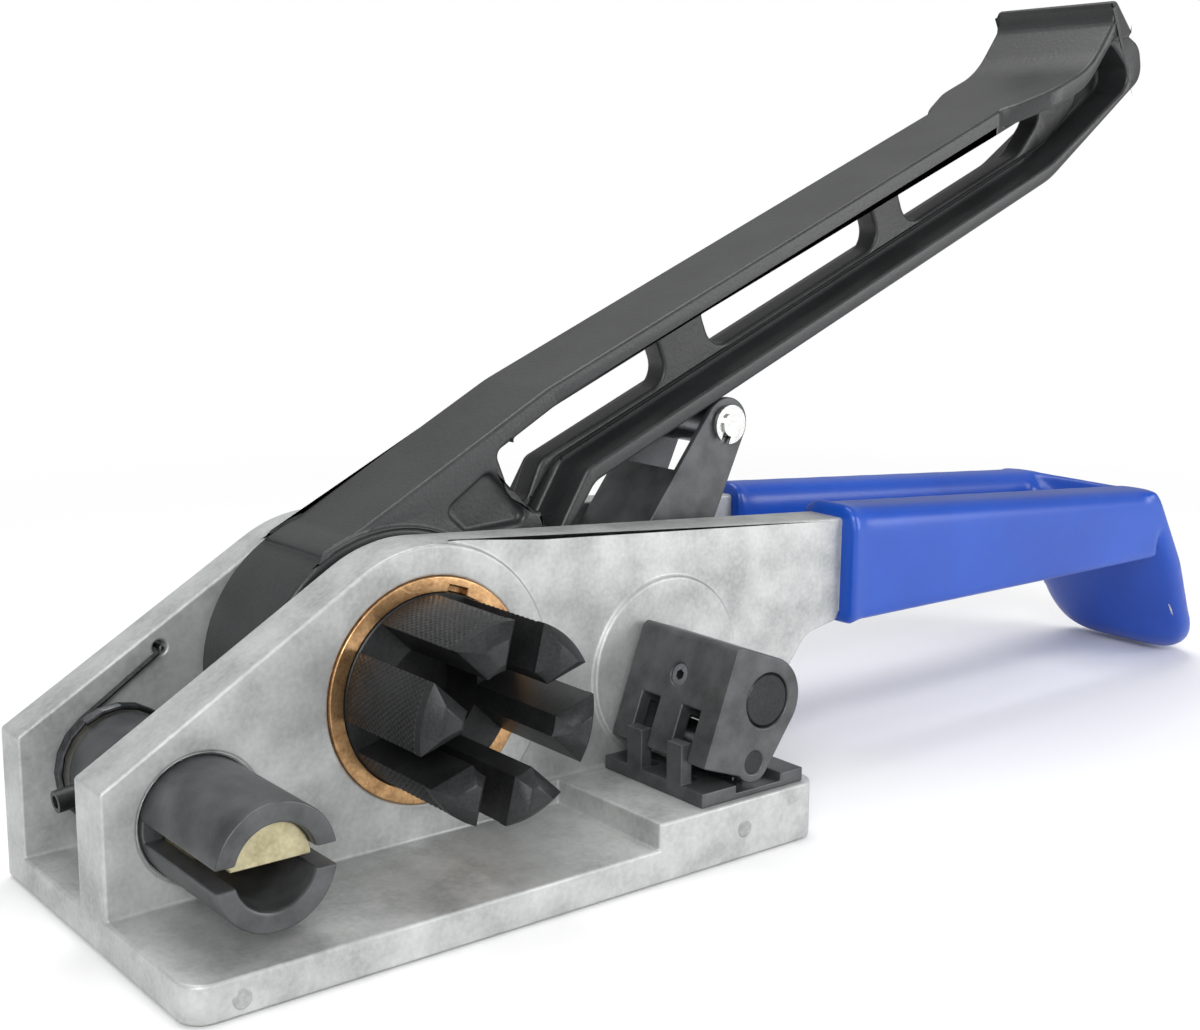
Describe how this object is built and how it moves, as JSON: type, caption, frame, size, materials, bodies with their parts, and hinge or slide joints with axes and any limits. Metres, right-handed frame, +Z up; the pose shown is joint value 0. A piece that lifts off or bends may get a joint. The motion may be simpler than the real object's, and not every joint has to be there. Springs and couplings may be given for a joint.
{
  "type": "hand strapping tensioner",
  "caption": "Hand windlass tensioner for strapping, with a ratchet handle, spring gripper, release lever, strap cutter and a blue vinyl rear grip.",
  "frame": {"origin": "on the underside of the base, below the windlass axis, level with the outer face of the near wall", "axes": "+X back towards the rear grip, +Y from the open strap side to the far wall, +Z up"},
  "size_m": [0.3736, 0.094, 0.2013],
  "materials": {
    "cast_aluminium": "as cast, mottled",
    "blue_vinyl": "dipped vinyl, smooth gloss",
    "bronze": "machined, scuffed",
    "black_painted_casting": "black powder coat, fine texture",
    "black_oxide_steel": "black oxide, oiled",
    "brass_plated_steel": "dull yellow plating",
    "zinc_plated_steel": "bright zinc",
    "plain_steel": "ground steel",
    "spring_steel": "oiled spring wire"
  },
  "bodies": {
    "frame": {"frame_casting": "cast_aluminium", "grip_sleeve": "blue_vinyl", "near_bush": "bronze", "far_bush": "bronze", "cutter_tube": "black_oxide_steel", "gripper_plate": "black_oxide_steel", "plate_screws": "black_oxide_steel", "holding_pawl_pin": "plain_steel", "holding_pawl_spring": "spring_steel", "cutter_spring": "spring_steel", "jaw_spring": "spring_steel", "lever_spring": "spring_steel"},
    "windlass": {"windlass": "black_oxide_steel", "windlass_key": "plain_steel", "ratchet_wheel": "plain_steel", "windlass_collar": "plain_steel", "windlass_clip": "zinc_plated_steel"},
    "handle": {"handle": "black_painted_casting", "drive_pawl_pin": "plain_steel", "drive_pawl_spring": "spring_steel"},
    "drive_pawl": {"drive_pawl": "plain_steel"},
    "holding_pawl": {"holding_pawl": "plain_steel"},
    "gripper": {"gripper_shaft": "black_oxide_steel", "gripper_block": "black_oxide_steel", "gripper_set_screw": "plain_steel", "jaw_pin": "black_oxide_steel", "release_lever": "black_oxide_steel", "lever_key": "plain_steel", "lever_pin": "zinc_plated_steel", "lever_clips": "zinc_plated_steel", "shaft_clip": "zinc_plated_steel"},
    "gripper_jaw": {"gripper_jaw": "plain_steel"},
    "lever_roller": {"lever_roller": "plain_steel"},
    "cutter": {"cutter_core": "brass_plated_steel", "cutter_hub": "black_oxide_steel", "cutter_roll_pin": "black_oxide_steel"}
  },
  "joints": [
    {"name": "windlass_spin", "type": "hinge", "parent": "frame", "child": "windlass", "pos_m": [0, 0, 0.0407], "axis": [0, 1, 0], "continuous": true},
    {"name": "handle_swing", "type": "hinge", "parent": "frame", "child": "handle", "pos_m": [0, 0.028, 0.0407], "axis": [0, -1, 0], "range_deg": [0, 90]},
    {"name": "drive_pawl_lift", "type": "hinge", "parent": "handle", "child": "drive_pawl", "pos_m": [0.03117, 0.028, 0.06173], "axis": [0, -1, 0], "range_deg": [0, 16], "stiffness_Nm_per_rad": 0.02, "springref_deg": -20.05},
    {"name": "holding_pawl_lift", "type": "hinge", "parent": "frame", "child": "holding_pawl", "pos_m": [0.03691, 0.028, 0.03353], "axis": [0, -1, 0], "range_deg": [0, 16], "stiffness_Nm_per_rad": 0.02, "springref_deg": -20.05},
    {"name": "gripper_open", "type": "hinge", "parent": "frame", "child": "gripper", "pos_m": [0.0672, 0, 0.0346], "axis": [0, 1, 0], "range_deg": [0, 14], "stiffness_Nm_per_rad": 1.2, "springref_deg": -22.92},
    {"name": "jaw_tilt", "type": "hinge", "parent": "gripper", "child": "gripper_jaw", "pos_m": [0.06347, -0.017, 0.02085], "axis": [0, 1, 0], "range_deg": [-2, 2]},
    {"name": "roller_spin", "type": "hinge", "parent": "gripper", "child": "lever_roller", "pos_m": [0.099, 0.028, 0.089], "axis": [0, 1, 0], "continuous": true},
    {"name": "cutter_turn", "type": "hinge", "parent": "frame", "child": "cutter", "pos_m": [-0.0536, 0, 0.0242], "axis": [0, 1, 0], "range_deg": [0, 40], "stiffness_Nm_per_rad": 0.3, "springref_deg": -20.05}
  ]
}
